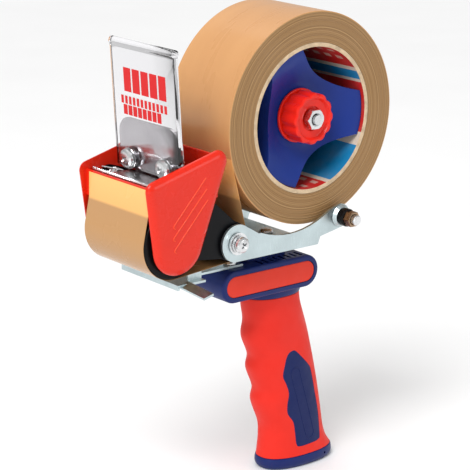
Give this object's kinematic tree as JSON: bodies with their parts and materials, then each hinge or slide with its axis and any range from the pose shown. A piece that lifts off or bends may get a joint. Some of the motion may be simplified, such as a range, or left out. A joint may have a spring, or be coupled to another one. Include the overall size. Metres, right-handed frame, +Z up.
{
  "type": "tape gun dispenser",
  "caption": "Hand-held packing tape dispenser: pistol grip, steel frame, braked hub with a tape roll, rollers, guard, blade and clear flap.",
  "frame": {"origin": "centre of the end cap's flat base, under the handle", "axes": "+Z up; -X towards the end where the tape comes out; -Y towards the brake knob; Y=0 is the tape's middle plane"},
  "size_m": [0.1691, 0.0807, 0.2609],
  "materials": {
    "tape_film": "brown packing tape, semi-gloss",
    "core_board": "plain board, printed bands inside",
    "hub_plastic": "moulded blue plastic",
    "head_plastic": "moulded dark blue plastic",
    "red_gloss": "glossy orange-red plastic",
    "grip_rubber": "soft red moulding, satin",
    "zinc_sheet": "zinc-plated sheet",
    "bright_steel": "bright plated steel",
    "black_steel": "black paint",
    "black_rubber": "black, smooth",
    "bronze": "dull bronze nut",
    "clear_acrylic": "clear moulded acrylic"
  },
  "bodies": {
    "root": {"tape_web": "tape_film", "handle_head": "head_plastic", "end_cap": "head_plastic", "grip_inset_near": "head_plastic", "grip_inset_far": "head_plastic", "guard": "red_gloss", "brake_disc": "red_gloss", "handle_grip": "grip_rubber", "head_inlay_near": "grip_rubber", "head_inlay_far": "grip_rubber", "frame_channel": "zinc_sheet", "rest_plate": "zinc_sheet", "bumper_collar": "zinc_sheet", "hub_bush": "bright_steel", "hub_axle": "bright_steel", "brake_nut": "bright_steel", "brake_spring": "bright_steel", "guide_washer": "bright_steel", "guide_lock_washer": "bright_steel", "guide_screw_near": "bright_steel", "guide_screw_far": "bright_steel", "plate_screw": "bright_steel", "frame_screw_1": "bright_steel", "frame_screw_2": "bright_steel", "rest_screw_near": "bright_steel", "rest_screw_far": "bright_steel", "guard_screw_near": "bright_steel", "guard_screw_far": "bright_steel", "bumper_stud": "bright_steel", "guide_axle": "bright_steel", "front_axle": "bright_steel", "flap_pin": "bright_steel", "flap_spring": "bright_steel", "cap_screw": "bright_steel", "side_plate": "black_steel", "link_near": "black_steel", "link_far": "black_steel", "bumper_ring": "black_rubber", "bumper_nut": "bronze"},
    "spool": {"hub": "hub_plastic", "tape_core": "core_board", "tape_roll": "tape_film"},
    "guide_roller_body": {"guide_roller": "black_rubber"},
    "front_roller_body": {"front_roller_core": "head_plastic", "front_roller_sleeve": "black_rubber"},
    "flap": {"clear_flap": "clear_acrylic", "flap_plate": "bright_steel", "blade": "bright_steel", "flap_washer_near": "bright_steel", "flap_washer_far": "bright_steel", "flap_screw_near": "bright_steel", "flap_screw_far": "bright_steel", "flap_lock_washer_near": "bright_steel", "flap_lock_washer_far": "bright_steel", "flap_nut_near": "bright_steel", "flap_nut_far": "bright_steel"},
    "knob": {"brake_knob": "red_gloss"}
  },
  "joints": [
    {"name": "spool_spin", "type": "hinge", "parent": "root", "child": "spool", "pos_m": [-0.0164, 0, 0.204], "axis": [0, 1, 0], "continuous": true},
    {"name": "guide_roller_spin", "type": "hinge", "parent": "root", "child": "guide_roller_body", "pos_m": [-0.0706, 0, 0.146], "axis": [0, 1, 0], "continuous": true},
    {"name": "front_roller_spin", "type": "hinge", "parent": "root", "child": "front_roller_body", "pos_m": [-0.1085, 0, 0.1513], "axis": [0, 1, 0], "continuous": true},
    {"name": "flap_press", "type": "hinge", "parent": "root", "child": "flap", "pos_m": [-0.111, 0, 0.1774], "axis": [0, 1, 0], "range_deg": [0, 14], "stiffness_Nm_per_rad": 0.15, "springref_deg": -34.38, "deforming": ["flap_spring"]},
    {"name": "brake_knob_turn", "type": "hinge", "parent": "root", "child": "knob", "pos_m": [-0.0164, 0, 0.204], "axis": [0, -1, 0], "range_deg": [-180, 180]}
  ],
  "couplings": [
    {"joint": "guide_roller_spin", "follows": "spool_spin", "ratio": -5.343},
    {"joint": "front_roller_spin", "follows": "spool_spin", "ratio": -3.003}
  ]
}
